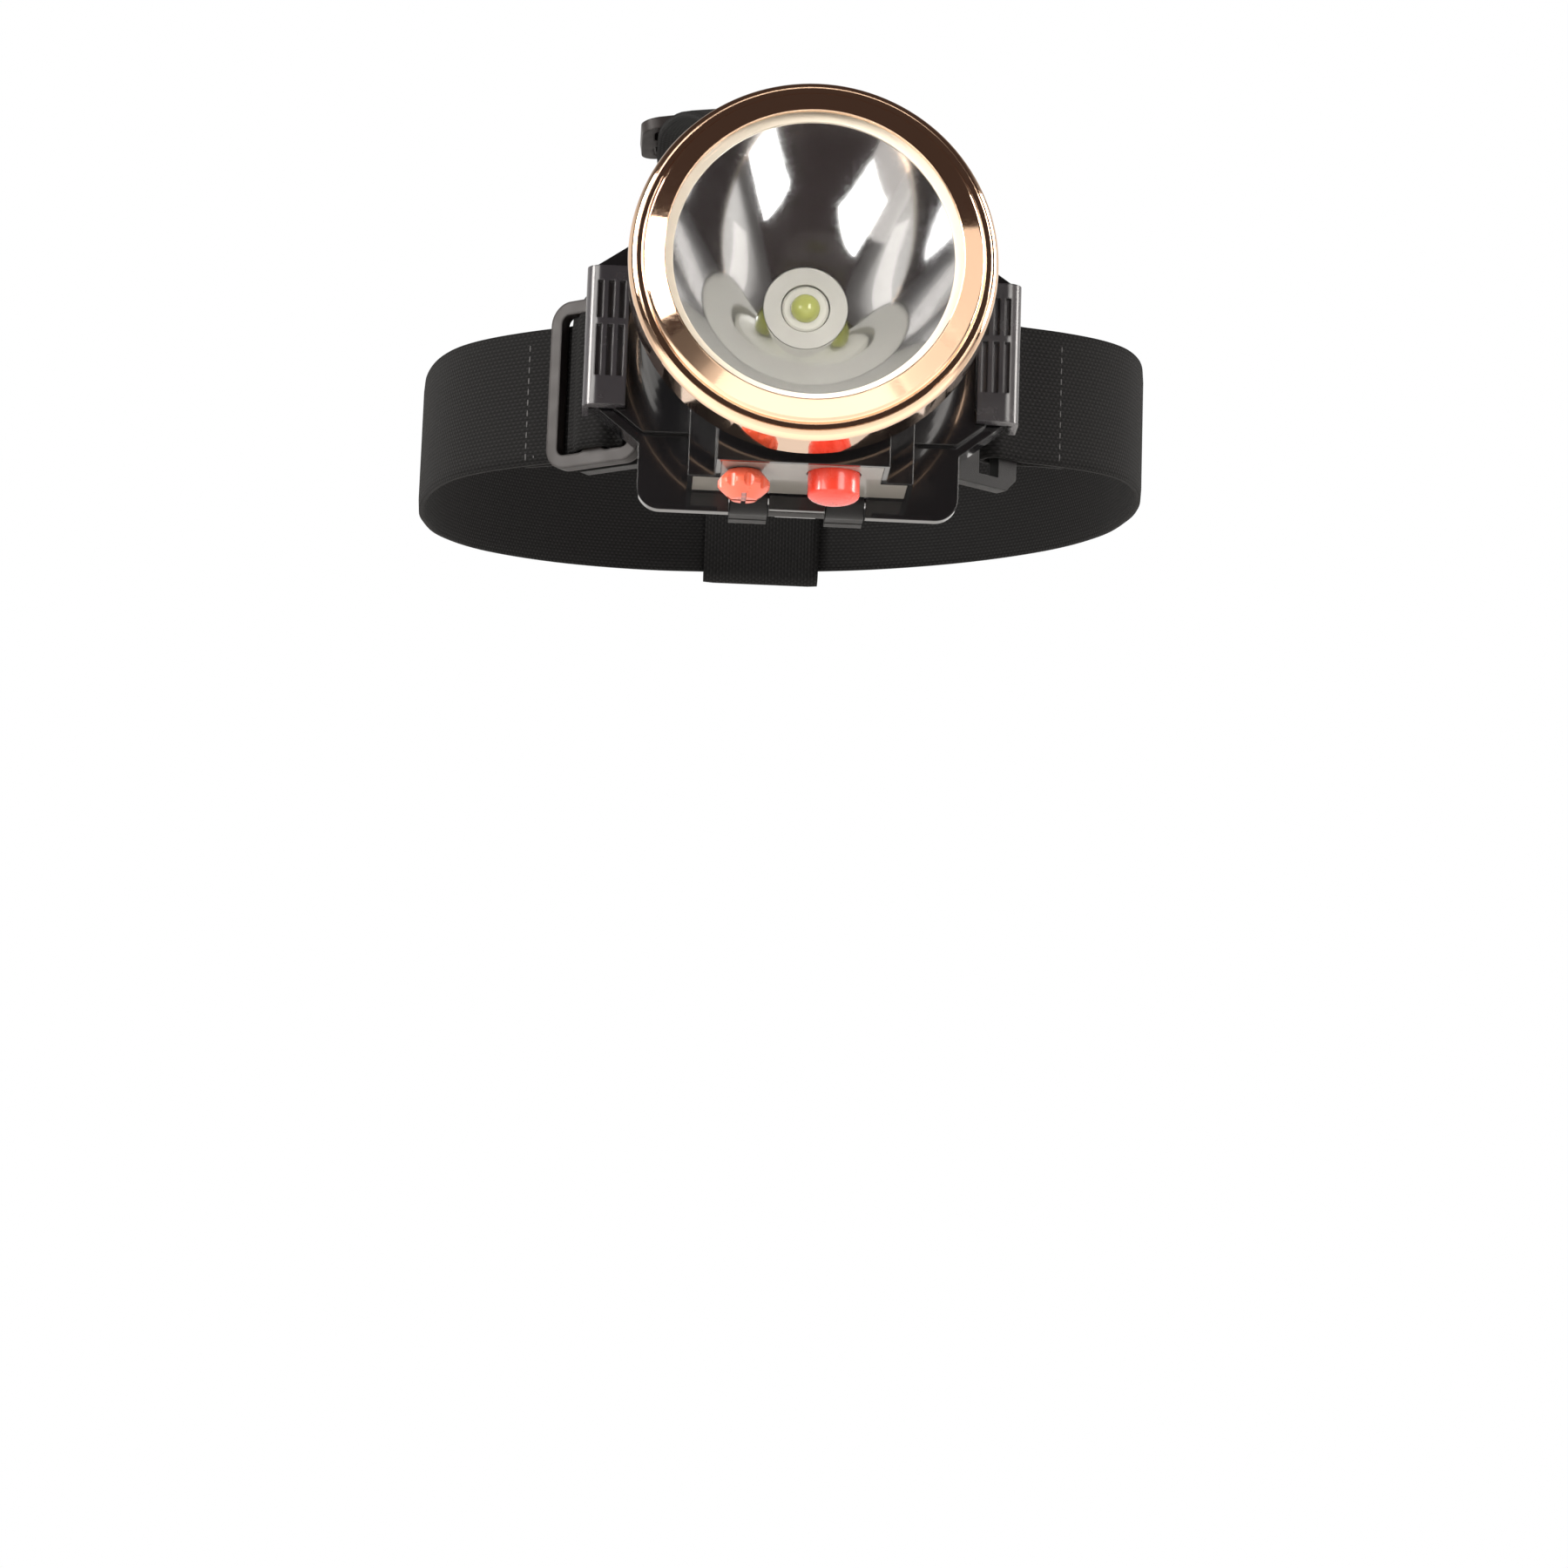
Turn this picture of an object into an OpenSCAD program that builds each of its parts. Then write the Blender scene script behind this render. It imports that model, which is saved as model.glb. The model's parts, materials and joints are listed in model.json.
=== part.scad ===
// Tilting headlamp on an elastic three-way headband.
// Millimetres. The lamp looks along -Y, +X is to the right of someone facing
// the lens and +Z is up. The origin is the middle of the face of the forehead
// pad that rests on the wearer.
// "f" is a distance forward of that face, so f = -y.

/* [Lamp head] */
// Outer diameter of the bezel ring
bezel_d = 61; // [60:0.5:61.5]
// Diameter of the clear opening in the bezel
window_d = 49; // [48:0.5:49]
// Height of the lamp axis above the middle of the forehead pad
lamp_z = 5; // [4:0.5:6]
// Distance from the forehead face to the front of the bezel
bezel_front = 52; // [51.5:0.5:52.5]
// Diameter of the reflector's rear opening
reflector_throat_d = 14.6; // [14:0.2:15]

/* [Body] */
// Half of the width of the rear shell
shell_half_w = 36.2; // [36:0.1:36.4]
// Half of the width of the chin
chin_half_w = 27.5; // [27:0.5:28]
// Bottom of the chin
chin_bottom = -29.4; // [-30:0.2:-29.2]
// Wall thickness of the moulded shells
wall = 1.6; // [1.5:0.1:1.7]

/* [Controls] */
// Middle of the dimmer knob, left and right
dimmer_x = -9.6; // [-9.8:0.1:-9.4]
// Middle of the power button, left and right
power_x = 5.4; // [5.2:0.1:5.8]
// Distance of both controls forward of the forehead face
controls_f = 29; // [28.5:0.25:29]
// Radius of the knob and of the button
control_r = 4.4; // [4.2:0.1:4.4]
// Travel of the power button
power_travel = 1.2; // [1:0.1:1.3]

/* [Headband] */
// Width of the webbing
band_w = 24.5; // [24:0.5:25]
// Thickness of the webbing
band_t = 1.3; // [1.2:0.05:1.4]
// How much higher the band lies for each mm further back
band_rise = 0.12; // [0.1:0.01:0.13]
// How much higher the band lies for each mm further right
band_lean = 0.045; // [0:0.005:0.05]

/* [Hidden] */
$fn = 96;
e = 0.05;         // gap left between two pieces that rest on each other
cut = 0.5;        // how far a cutting shape runs past the face it cuts

// stack of layers, forward of the forehead face
pad_f = 4.95;
plate_f0 = 5;
plate_f1 = 7.5;
shell_f0 = 8;
shell_f1 = 14;
cover_f1 = 15.6;
floor_f = shell_f0 + 1.2;
chin_f = 12;
housing_f0 = cover_f1 + e;
back_wall_f = housing_f0 + wall;

// octagon of the shells, in x and z
side_lo = -11;
side_hi = 13;
oct_lo = -17.9;
oct_hi = 19;
cover_inset = 1.6;

// tilt hinge
hinge_f = 11;
hinge_z = -26;
barrel_r = 3;
pin_r = 1;
pin_half = 16.2;
knuckle_x0 = 5;
knuckle_x1 = 11.5;
knuckle_gap = 0.2;
teeth = 24;
tooth_h = 0.35;

// control box under the lamp
box_bottom = -26;
box_half_w = 19;
nose_half_w = 14.4;
box_f = 24.7;
nose_f = 35.5;
box_wall = 1.5;
panel_t = 1.2;
panel_top = box_bottom + panel_t;
panel_f = 15;
board_z = -19.6;
board_t = 1.2;

// lamp optics, as distances forward
bezel_back = bezel_front - 12.5;
seat_f = bezel_front - 0.9;
lens_t = 1.5;
lens_r = 25.4;
lens_f = seat_f - e;
gasket_f = lens_f - lens_t - e;
gasket_t = 0.4;
flange_f = gasket_f - gasket_t - e;
flange_t = 0.75;
collar_f = flange_f - flange_t - e;
collar_r = 27.2;
throat_f = 21;
throat_r = reflector_throat_d / 2;
mouth_r = 23.1;
mouth_f = flange_f;
focal_4 = (mouth_r * mouth_r - throat_r * throat_r) / (mouth_f - throat_f);
mirror_t = 1.1;
board_f0 = 18;
board_f1 = 19.2;

// base plate
plate_half_w = 19;
plate_lo = -20;
plate_hi = 26.5;
ear_angle = 36;
ear_len = 24.2;
ear_half_h = 16.2;
ear_z = -2.15;            // middle of the ears and of the slots in them
ear_t = 2.5;
slot_u0 = 15.5;
slot_u1 = 20;
slot_half_h = band_w / 2 + 1.9;
top_slot_half_w = band_w / 2 + 1;
top_slot_lo = 19.3;
top_slot_hi = 23;

// webbing adjusters
slider_l = 20;
slider_half_w = band_w / 2 + 2.9;
slider_t = 2.2;
slider_lift = band_t / 2 + 0.3 + slider_t / 2;
// the webbing passes over the middle bar, as distance along and height above
weave = [[5.8, -0.3], [4.2, 0.2], [2.4, 1.75], [0, 1.95], [-2.4, 1.75], [-4.2, 0.2], [-5.8, -0.3]];
side_slider_s = -8;      // along the straight of the headband from the ear's end
side_slider_z = -3.4;
crown_slider_at = [-14, 72, 66.6];
crown_slider_roll = -9;
crown_slider_pitch = 1.6;

// headband, seen from above: how it leaves the right ear, and its way round to the back
band_z = -2.3;           // height of the band where it leaves the ears
ear_dir = [cos(ear_angle), sin(ear_angle)];
ear_out = [sin(ear_angle), -cos(ear_angle)];
ear_root = [plate_half_w, -(plate_f0 + plate_f1) / 2];
fold_r = ear_t / 2 + 0.15 + band_t / 2;
fold_u = slot_u1 - 0.4;
fold_end = ear_root + ear_dir * (ear_len + 0.4) + ear_out * fold_r;
strap_dir = ear_dir;
strap_in = -ear_out;
band_route = [
    fold_end, fold_end + ear_dir * 9, [54.6, 19], [60, 27.5], [63.8, 38.5], [66.4, 52], [68, 68],
    [68.2, 86], [65.8, 110], [57.6, 134], [42.3, 155], [22.6, 168.4], [0, 172.8]];

// crown strap: x, y, z at its middle, from the fold behind the base plate's top
// bar, over the head and round the back of the headband
crown_route = [
    [0, 2.1, 37.4], [0, -2.35, 33.3], [0, -3.8, 29.3], [0, -4.1, 25], [0, -4.15, 22.5], [0, -6.25, 20.6],
    [0, -8.35, 22.5], [0, -8.4, 26.4], [0, -6.6, 31.2], [-1, 1, 38.6], [-4, 14, 49.6],
    [-9, 34, 59.8], [-13.2, 56, 65.2], [-14, 72, 66.6], [-13.2, 92, 66.4], [-9.6, 116, 62.2],
    [-5, 140, 54], [-2, 158, 45], [-0.6, 169.6, 37], [0, 174.1, 30], [0, 174.4, 22], [0, 174.4, 12],
    [0, 174.35, 5.2], [0, 173.9, 3.9], [0, 172.1, 3.1], [0, 170.2, 3.9], [0, 169.75, 5.2],
    [0, 169.7, 12], [0, 169.7, 22], [0, 169.4, 27]];
crown_roll = 0.7;        // degrees of roll for each mm of sideways offset

// ---------------------------------------------------------------- helpers

function clamp01(v) = min(1, max(0, v));
function unit(v) = v / norm(v);
function spline(a, b, c, d, t) =
    0.5 * (2 * b + (c - a) * t + (2 * a - 5 * b + 4 * c - d) * t * t
           + (3 * b - a - 3 * c + d) * t * t * t);
function smooth(p, steps) = [
    for (i = [0 : len(p) - 2], k = [0 : steps - 1])
        spline(p[max(0, i - 1)], p[i], p[i + 1], p[min(len(p) - 1, i + 2)], k / steps),
    p[len(p) - 1]];
function tangent(p, i) = unit(p[min(len(p) - 1, i + 1)] - p[max(0, i - 1)]);

// flat strip of webbing along p, whose width lies along across[i]
module webbing(p, across, w, t) {
    rings = [for (i = [0 : len(p) - 1])
        let (a = tangent(p, i),
             x = unit(across[i] - a * (across[i] * a)),
             n = cross(a, x))
        [p[i] - x * w / 2 - n * t / 2, p[i] + x * w / 2 - n * t / 2,
         p[i] + x * w / 2 + n * t / 2, p[i] - x * w / 2 + n * t / 2]];
    last = len(p) - 1;
    walls = [for (i = [0 : last - 1], k = [0 : 3])
        let (a = 4 * i + k, b = 4 * i + (k + 1) % 4)
        each [[a, b + 4, b], [a, a + 4, b + 4]]];
    ends = [[0, 1, 2], [0, 2, 3],
            [4 * last + 2, 4 * last + 1, 4 * last], [4 * last + 3, 4 * last + 2, 4 * last]];
    polyhedron([for (r = rings) each r], concat(walls, ends));
}

// extrude a shape drawn in x and z from f0 forward to f1
module slab(f0, f1) {
    translate([0, -f0, 0]) rotate([90, 0, 0]) linear_extrude(f1 - f0) children();
}

// turn a profile drawn as radius and distance forward about the lamp axis
module lathe() {
    translate([0, 0, lamp_z]) rotate([90, 0, 0]) rotate_extrude() children();
}

// rod along Y from f0 to f1
module rod(r, x, z, f0, f1) {
    translate([x, -f0, z]) rotate([90, 0, 0]) cylinder(r = r, h = f1 - f0);
}

// extrude a shape drawn round the hinge axis from x0 to x1
module along_hinge(x0, x1) {
    translate([x0, -hinge_f, hinge_z]) rotate([90, 0, 90]) linear_extrude(x1 - x0) children();
}

module block(x0, x1, f0, f1, z0, z1) {
    translate([x0, -f1, z0]) cube([x1 - x0, f1 - f0, z1 - z0]);
}

module both_sides() {
    children();
    mirror([1, 0, 0]) children();
}

// rectangle with round corners, about the origin
module round_rect(w, h, r) {
    square([w - 2 * r, h], center = true);
    square([w, h - 2 * r], center = true);
    for (x = [-1, 1], z = [-1, 1]) translate([x * (w / 2 - r), z * (h / 2 - r)]) circle(r = r);
}

// half of the octagon's outline, moved in by i all round
function oct_half(i) =
    let (lo = (side_lo - oct_lo) / (shell_half_w - chin_half_w),
         hi = (oct_hi - side_hi) / (shell_half_w - chin_half_w),
         lo_n = sqrt(1 + lo * lo),
         hi_n = sqrt(1 + hi * hi))
    [[chin_half_w + i * (1 - lo_n) / lo, oct_lo + i],
     [shell_half_w - i, side_lo + i * (lo_n - lo)],
     [shell_half_w - i, side_hi - i * (hi_n - hi)],
     [chin_half_w + i * (1 - hi_n) / hi, oct_hi - i]];
function octagon(i) =
    let (h = oct_half(i)) concat(h, [for (k = [3 : -1 : 0]) [-h[k][0], h[k][1]]]);

module screw(x, z, f0, f1, head_r, head_t, r) {
    rod(head_r, x, z, f0, f0 + head_t);
    rod(r, x, z, f0, f1);
}

// ---------------------------------------------------------------- base

module base_plate() {
    color("#161618") difference() {
        union() {
            slab(plate_f0, plate_f1) translate([0, (plate_lo + plate_hi) / 2])
                round_rect(2 * plate_half_w, plate_hi - plate_lo, 1.2);
            both_sides() base_ear();
            both_sides() base_knuckle();
        }
        // slot for the crown strap
        slab(plate_f0 - cut, plate_f1 + cut) translate([0, (top_slot_lo + top_slot_hi) / 2])
            round_rect(2 * top_slot_half_w, top_slot_hi - top_slot_lo, 1);
        // recess and screw hole of the detent spring
        block(-3.8, 3.8, 6.35, plate_f1 + cut, plate_lo - cut, -9.5);
        rod(0.95, 0, -13, plate_f0 - cut, plate_f1);
        along_hinge(-knuckle_x1 - 1, knuckle_x1 + 1) circle(r = pin_r + 0.03);
    }
}

// ear that leans back along the forehead, with a slot for the headband
module base_ear() {
    tip = ear_root + ear_dir * ear_len;
    half_t = ear_out * ear_t / 2;
    heel = ear_root - half_t;
    difference() {
        translate([0, 0, ear_z - ear_half_h]) linear_extrude(2 * ear_half_h)
            polygon([[plate_half_w - 2, 0.1 - plate_f1], [plate_half_w + 0.5, 0.1 - plate_f1],
                     tip + half_t, tip - half_t, heel, [plate_half_w - 2, -0.3 - plate_f0]]);
        on_ear() translate([slot_u0, -5, ear_z - slot_half_h])
            cube([slot_u1 - slot_u0, 10, 2 * slot_half_h]);
        // clipped corners at the tip
        for (s = [-1, 1]) on_ear() translate([ear_len, 0, ear_z + s * ear_half_h])
            rotate([0, -45 * s, 0]) translate([-1.6, -5, -5]) cube([5, 10, 10]);
    }
}

module on_ear() {
    translate([ear_root[0], ear_root[1], 0]) rotate([0, 0, ear_angle]) children();
}

module base_knuckle() {
    along_hinge(knuckle_x0, knuckle_x1) union() {
        circle(r = barrel_r);
        translate([0, 0.1 - barrel_r]) square([hinge_f - plate_f0, 2 * barrel_r - 0.2]);
    }
    block(knuckle_x0, knuckle_x1, plate_f0, plate_f1, hinge_z - barrel_r, plate_lo + 1);
}

module forehead_pad() {
    color("#242426") slab(0, pad_f) round_rect(36.6, 38, 6);
}

// fold of the headband round an ear and its sewn return, from the loop inwards
function band_fold() = concat(
    [ear_root + ear_dir * (fold_u + 2) + ear_out * fold_r],
    [for (a = [0 : 30 : 180]) ear_root + ear_dir * (fold_u - fold_r * sin(a)) + ear_out * fold_r * cos(a)],
    [ear_root + ear_dir * (ear_len + 0.4) - ear_out * fold_r,
     fold_end + ear_dir * 5 - ear_out * 2.4, fold_end + ear_dir * 10 - ear_out * 1.7]);

function band_path() =
    let (way = concat([for (k = [len(band_fold()) - 1 : -1 : 0]) band_fold()[k]],
                      smooth(band_route, 4)),
         n = len(way))
    concat(way, [for (k = [n - 2 : -1 : 0]) [-way[k][0], way[k][1]]]);

function band_height(q) = band_z + band_lean * q[0] + band_rise * max(0, q[1] - fold_end[1]);

module headband() {
    p = [for (q = band_path()) [q[0], q[1], band_height(q)]];
    color("#1b1b1c") webbing(p, [for (q = p) [0, 0, 1]], band_w, band_t);
}

module crown_strap() {
    p = smooth(crown_route, 3);
    across = [for (q = p) [cos(-crown_roll * q[0]), 0, sin(-crown_roll * q[0])]];
    color("#1b1b1c") webbing(p, across, band_w, band_t);
}

module tilt_pin() {
    color("#b9bcc0") along_hinge(-pin_half, pin_half) circle(r = pin_r);
}

module detent_spring() {
    color("#c8c9cb") difference() {
        union() {
            block(-3.5, 3.5, 6.4, 6.9, -28, -10);
            // rounded nose that rests on the ratchet teeth
            translate([-3.5, -6.85, hinge_z]) rotate([0, 90, 0]) cylinder(r = 1.05, h = 7);
        }
        block(-4, 4, 5, 6.4, -29, -9);
        rod(1.0, 0, -13, 6, 7.5);
    }
}

module detent_screw() {
    color("#b9bcc0") union() {
        rod(1.8, 0, -13, 6.95, 7.45);
        rod(0.9, 0, -13, plate_f0 + 0.2, 7);
    }
}

// ---------------------------------------------------------------- webbing adjusters

// frame with a middle bar, long across the webbing (x), short along it (y)
module tri_glide() {
    translate([0, 0, -slider_t / 2]) linear_extrude(slider_t) difference() {
        round_rect(2 * slider_half_w, slider_l, 4);
        for (s = [-1, 1]) translate([0, s * 4.65]) round_rect(band_w + 1, 6.1, 1.5);
    }
}

module tri_glide_webbing() {
    p = [for (q = smooth(weave, 4)) [0, q[0], q[1]]];
    webbing(p, [for (q = p) [1, 0, 0]], band_w, band_t);
}

// put an adjuster on the left straight of the headband, outside the ear
module on_side_strap() {
    at = fold_end + strap_dir * side_slider_s - strap_in * slider_lift;
    heading = atan2(strap_dir[1], strap_dir[0]);
    translate([-at[0], at[1], side_slider_z]) rotate([0, 0, 90 - heading]) rotate([0, -90, 0]) children();
}

module on_crown_strap() {
    translate(crown_slider_at) rotate([crown_slider_pitch, crown_slider_roll, 0])
        translate([0, 0, slider_lift]) children();
}

module side_slider() { color("#1d1c1d") on_side_strap() tri_glide(); }
module side_slider_webbing() { color("#1b1b1c") on_side_strap() tri_glide_webbing(); }
module crown_slider() { color("#1d1c1d") on_crown_strap() tri_glide(); }
module crown_slider_webbing() { color("#1b1b1c") on_crown_strap() tri_glide_webbing(); }

// ---------------------------------------------------------------- body shells

screw_at = [[31, -8.2], [-31, -8.2], [31, 10.4], [-31, 10.4]];
lamp_screw_r = 15.6;
lamp_screw_at = [for (a = [20, 160, 270]) [lamp_screw_r * cos(a), lamp_z + lamp_screw_r * sin(a)]];

module rear_shell() {
    color("#0e0e10") difference() {
        union() {
            difference() {
                union() {
                    slab(shell_f0, shell_f1) polygon(octagon(0));
                    chin();
                    // shoulder between the back and the hinge
                    block(-17.4, 17.4, shell_f0, shell_f1, -22.2, oct_lo + 0.5);
                }
                slab(floor_f, shell_f1 + cut) polygon(octagon(wall));
            }
            for (s = screw_at) rod(2.7, s[0], s[1], shell_f0, 10.2);
            // ribs that hold the cell
            both_sides() block(24, 25, floor_f - 0.1, 12.5, -12, 10);
            // bosses for the ends of the pin
            both_sides() along_hinge(12, 17.4) union() {
                circle(r = 2.6);
                translate([-2, -2.3]) square([2, 4.6]);
            }
        }
        for (s = screw_at) {
            rod(2.1, s[0], s[1], shell_f0 - cut, 9.1);
            rod(1.15, s[0], s[1], shell_f0, 11);
        }
        // room for the base's knuckles and, in the middle, for the ratchet barrel
        both_sides() block(knuckle_x0 - knuckle_gap, knuckle_x1 + knuckle_gap, shell_f0 - cut,
                           shell_f1 + cut, chin_bottom - 1, hinge_z + barrel_r + 0.5);
        block(-knuckle_x0, knuckle_x0, shell_f0 - cut, shell_f1 + cut, chin_bottom - 1,
              hinge_z + barrel_r + 0.5);
        along_hinge(-pin_half - 0.5, 18.5) circle(r = pin_r + 0.06);
        // charging socket opening in the top wall
        block(13.9, 22.1, 10.3, 13.6, oct_hi - wall - 0.5, oct_hi + 1);
    }
    color("#0e0e10") ratchet_barrel();
}

// thin apron below the octagon
module chin() {
    r = 4;
    w = chin_half_w;
    slab(chin_f, shell_f1) union() {
        translate([-w, chin_bottom + r]) square([2 * w, oct_lo + 1 - chin_bottom - r]);
        translate([-w + r, chin_bottom]) square([2 * (w - r), r + 1]);
        for (s = [-1, 1]) translate([s * (w - r), chin_bottom + r]) circle(r = r);
    }
}

// toothed middle knuckle that the detent spring clicks on
module ratchet_barrel() {
    half = knuckle_x0 - knuckle_gap;
    difference() {
        union() {
            along_hinge(-half, half)
                polygon([for (i = [0 : 2 * teeth - 1])
                    (barrel_r - tooth_h * (i % 2)) * [cos(180 * i / teeth), sin(180 * i / teeth)]]);
            block(-half, half, 8.4, shell_f1, hinge_z + 0.5, hinge_z + barrel_r + 1);
            // foot of the tongue, under the apron's edge
            block(-half, half, 12, shell_f1, hinge_z - 2.6, hinge_z + 1);
        }
        along_hinge(-half - 1, half + 1) circle(r = pin_r + 0.06);
    }
}

module front_cover() {
    color("#0e0e10") difference() {
        union() {
            slab(shell_f1 + e, cover_f1) polygon(octagon(cover_inset));
            for (s = screw_at) rod(2.3, s[0], s[1], 10.3, shell_f1 + 0.2);
        }
        for (s = screw_at) rod(1.03, s[0], s[1], 10, 13.8);
        for (s = lamp_screw_at) rod(1.15, s[0], s[1], shell_f1 - cut, cover_f1 + cut);
        // wires pass here
        slab(shell_f1 - cut, cover_f1 + cut) translate([0, -14.9]) square([12, 2.4], center = true);
        // seats of the side grips
        both_sides() block(29.8, 40, shell_f1 + 0.8, cover_f1 + cut, -12.6, 12.6);
    }
}

// ribbed corner piece that caps the side of the body
module grip() {
    outer = 37.4;
    front = 17.6;
    round_r = 2.6;
    difference() {
        translate([0, 0, -12.3]) linear_extrude(24.6) difference() {
            union() {
                translate([30, -front]) square([outer - round_r - 30, front - 9]);
                translate([30, -front + round_r]) square([outer - 30, front - round_r - 9]);
                translate([outer - round_r, -front + round_r]) circle(r = round_r);
            }
            translate([29, -shell_f1 - 0.85]) square([shell_half_w + e - 29, 10]);
        }
        // two rows of grooves over a plain pad
        for (x = [31.2, 33.1, 35]) {
            block(x - 0.45, x + 0.45, 16.7, front + 1, 3, 9.6);
            block(x - 0.45, x + 0.45, 16.7, front + 1, -7.2, 1.8);
        }
        block(36.7, outer + 1, 13.4, 14.3, 3, 9.6);
        block(36.7, outer + 1, 13.4, 14.3, -7.2, 1.8);
    }
}

module right_grip() { color("#2b2a2c") grip(); }
module left_grip() { color("#2b2a2c") mirror([1, 0, 0]) grip(); }

module housing_seal() {
    color("#5b5b5e") slab(13.55, shell_f1) difference() {
        polygon(octagon(wall + 0.1));
        polygon(octagon(wall + 1.1));
    }
}

module housing_screws() {
    color("#a9acb0") for (s = screw_at) screw(s[0], s[1], 8.1, 13.4, 1.9, 0.95, 1);
}

module control_box(i, f0) {
    difference() {
        union() {
            block(-box_half_w + i, box_half_w - i, f0, box_f - i, box_bottom, -8);
            block(-nose_half_w + i, nose_half_w - i, f0, nose_f - i, box_bottom, -8);
        }
        block(-40, 40, 10, cover_f1 + e, oct_lo + cover_inset - 0.1, 0);
    }
}

// outside of the lamp bowl: an ellipse that closes in towards the back
function bowl_r(f, r0) = r0 * sqrt(1 - pow((bezel_back - 0.3 - f) / 35.5, 2));

module lamp_housing() {
    bowl_f = bezel_back - 0.3;
    steps = 10;
    r0 = 28.8;
    curve = [for (k = [0 : steps]) housing_f0 + (bowl_f - housing_f0) * k / steps];
    color("#0e0e10") difference() {
        union() {
            lathe() polygon(concat([[0, housing_f0]], [for (f = curve) [bowl_r(f, r0), f]],
                                   [[collar_r, bowl_f], [collar_r, collar_f], [0, collar_f]]));
            difference() {
                control_box(0, shell_f1 + e);
                lathe() polygon([[0, housing_f0 - 1], [20, housing_f0 - 1], [20, collar_f],
                                 [0, collar_f]]);
            }
        }
        // inside of the bowl
        difference() {
            lathe() polygon(concat([[0, back_wall_f], [bowl_r(back_wall_f, r0) - wall, back_wall_f]],
                                   [for (f = curve) if (f > back_wall_f) [bowl_r(f, r0) - wall, f]],
                                   [[collar_r - 2.3, bowl_f], [collar_r - 2.3, collar_f + cut],
                                    [0, collar_f + cut]]));
            for (s = lamp_screw_at) rod(2.3, s[0], s[1], back_wall_f - 1, 21);
        }
        // inside of the control box, open to the bowl and closed below by the panel
        difference() {
            control_box(box_wall, back_wall_f);
            for (s = lamp_screw_at) rod(2.3, s[0], s[1], back_wall_f - 1, 21);
        }
        panel_outline(0.05, 1);
        for (s = lamp_screw_at) rod(1.03, s[0], s[1], housing_f0 - cut, 20);
        for (s = [-1, 1]) rod(1.03, s * 7.8, lamp_z, housing_f0 + 0.4, back_wall_f + cut);
        slab(housing_f0 - cut, back_wall_f + cut) translate([0, -14.9]) square([12, 2.4], center = true);
        // room for the base's knuckles to turn in
        both_sides() along_hinge(knuckle_x0 - knuckle_gap, knuckle_x1 + knuckle_gap)
            circle(r = barrel_r + 0.5);
        along_hinge(-knuckle_x0, knuckle_x0) circle(r = barrel_r + 0.5);
    }
}

// outline of the grey panel under the controls, moved out by grow
module panel_outline(grow, drop) {
    z0 = box_bottom - drop;
    z1 = panel_top + grow;
    w0 = box_half_w - 0.9 + grow;
    w1 = nose_half_w - 0.9 + grow;
    block(-w0, w0, panel_f - grow, box_f - 0.9 + grow, z0, z1);
    block(-w1, w1, panel_f - grow, nose_f - 0.9 + grow, z0, z1);
}

module control_panel() {
    color("#97928a") difference() {
        panel_outline(0, 0);
        translate([dimmer_x, -controls_f, box_bottom - 1]) cylinder(r = 2.3, h = 4);
        translate([power_x, -controls_f, box_bottom - 1]) cylinder(r = control_r + 0.15, h = 4);
    }
}

module lamp_screws() {
    color("#a9acb0") for (s = lamp_screw_at) screw(s[0], s[1], 13.05, 19.5, 1.9, 0.95, 1);
}

// ---------------------------------------------------------------- optics

module bezel() {
    r = bezel_d / 2;
    w = window_d / 2;
    f = bezel_front;
    rim = [for (a = [0 : 10 : 60]) [r - 2.4 + 2.4 * cos(a), f - 4.3 + 2.4 * sin(a)]];
    step = [for (a = [5 : 12 : 65]) [r - 3.5 + 1.2 * cos(a), f - 2.3 + 1.2 * sin(a)]];
    color("#c98f6e") lathe() polygon(concat(
        [[r - 0.3, bezel_back], [r, bezel_back + 0.3]],
        rim,
        [[r - 1.35, f - 2.3], [r - 2.25, f - 2.3]],
        step,
        [[w + 0.3, f - 0.08], [w + 0.15, f], [w, f - 0.15]],
        [[w, seat_f], [lens_r + 0.2, seat_f], [lens_r + 0.2, collar_f], [collar_r + 0.1, collar_f],
         [collar_r + 0.1, bezel_back]]));
}

module lens() {
    color("#e8eef2", 0.35) lathe() polygon([[0, lens_f - lens_t], [lens_r, lens_f - lens_t],
                                            [lens_r, lens_f], [0, lens_f]]);
}

module lens_gasket() {
    color("#efe6da") lathe() translate([mouth_r + 0.1, gasket_f - gasket_t])
        square([lens_r - mouth_r - 0.1, gasket_t]);
}

function mirror_r(f) = sqrt(focal_4 * (f - throat_f) + throat_r * throat_r);

module reflector() {
    steps = 14;
    curve = [for (k = [0 : steps]) throat_f + (mouth_f - throat_f) * pow(k / steps, 1.5)];
    back = [for (k = [steps : -1 : 0]) if (curve[k] < collar_f - 0.2) curve[k]];
    color("#c9ccd0") lathe() polygon(concat(
        [for (f = curve) [mirror_r(f), f]],
        [[lens_r, mouth_f], [lens_r, mouth_f - flange_t], [mirror_r(collar_f) + mirror_t, mouth_f - flange_t]],
        [for (f = back) [mirror_r(f) + mirror_t, f]]));
}

module led_insulator() {
    color("#c5c4be") lathe() polygon([[4.2, board_f1 + 0.1], [5.6, board_f1 + 0.1], [5.6, 20.25],
                                      [throat_r - 0.1, 20.25], [throat_r - 0.1, 20.95], [4.2, 20.95]]);
}

module led_emitter() {
    color("#d9d8cf") difference() {
        lathe() polygon([[0, board_f1 + e], [4, board_f1 + e], [4, 20.45], [3.6, 20.7], [0, 20.7]]);
        block(-0.9, 0.9, 20.5, 21.5, lamp_z - 0.9, lamp_z + 0.9);
    }
}

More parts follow.
